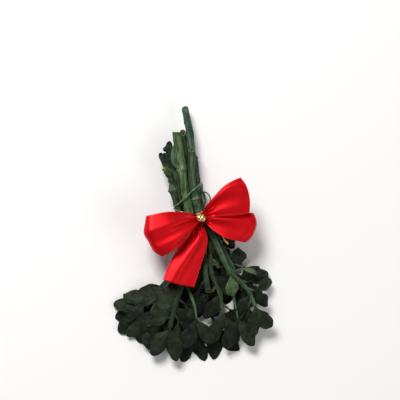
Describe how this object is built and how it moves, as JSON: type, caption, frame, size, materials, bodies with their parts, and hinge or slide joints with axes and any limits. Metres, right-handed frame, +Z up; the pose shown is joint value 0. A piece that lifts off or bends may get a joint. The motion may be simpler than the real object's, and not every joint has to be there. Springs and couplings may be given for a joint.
{
  "type": "mistletoe bunch",
  "caption": "Small bunch of cut mistletoe sprigs with leathery leaves, bound with green wire and tied with a red satin ribbon bow and gold beads, lying on its back.",
  "frame": {"origin": "middle of the bounding box's base, on the surface that the bunch lies on", "axes": "+Y along the bunch, towards the cut ends of the stems; +Z up, out of the face that carries the bow; +X to the right of someone looking down on the bow with the cut ends away from them"},
  "size_m": [0.0882, 0.148, 0.03],
  "materials": {
    "bark": "dull green bark, preserved",
    "foliage": "leathery matt leaf, preserved",
    "satin": "woven satin",
    "gold_bead": "gold plated, mirror bright",
    "gold_wire": "bright drawn wire",
    "green_wire": "gloss enamel"
  },
  "bodies": {
    "root": {"bead_left": "gold_bead", "bead_right": "gold_bead", "binding_wire": "green_wire", "leaf_back_left_1": "foliage", "leaf_back_left_2": "foliage", "leaf_back_left_3": "foliage", "leaf_back_middle_1": "foliage", "leaf_back_middle_2": "foliage", "leaf_back_middle_3": "foliage", "leaf_back_middle_4": "foliage", "leaf_broken_1": "foliage", "leaf_front_1": "foliage", "leaf_front_2": "foliage", "leaf_front_3": "foliage", "leaf_front_4": "foliage", "leaf_front_5": "foliage", "leaf_front_6": "foliage", "leaf_front_7": "foliage", "leaf_left_1": "foliage", "leaf_left_2": "foliage", "leaf_left_3": "foliage", "leaf_left_4": "foliage", "leaf_left_5": "foliage", "leaf_long_1": "foliage", "leaf_long_2": "foliage", "leaf_long_3": "foliage", "leaf_long_4": "foliage", "leaf_long_5": "foliage", "leaf_long_6": "foliage", "leaf_long_7": "foliage", "leaf_long_8": "foliage", "leaf_notched_1": "foliage", "leaf_notched_2": "foliage", "leaf_notched_3": "foliage", "leaf_notched_4": "foliage", "leaf_slim_1": "foliage", "leaf_slim_2": "foliage", "leaf_slim_3": "foliage", "leaf_slim_4": "foliage", "leaf_slim_5": "foliage", "leaf_thick_1": "foliage", "leaf_thick_2": "foliage", "leaf_thick_3": "foliage", "leaf_thick_4": "foliage", "leaf_thick_5": "foliage", "leaf_thick_6": "foliage", "leaf_thick_7": "foliage", "ribbon_bow": "satin", "stem_back_left": "bark", "stem_back_middle": "bark", "stem_broken": "bark", "stem_front": "bark", "stem_left": "bark", "stem_long": "bark", "stem_notched": "bark", "stem_slim": "bark", "stem_thick": "bark", "tie_wire": "gold_wire"}
  },
  "joints": []
}
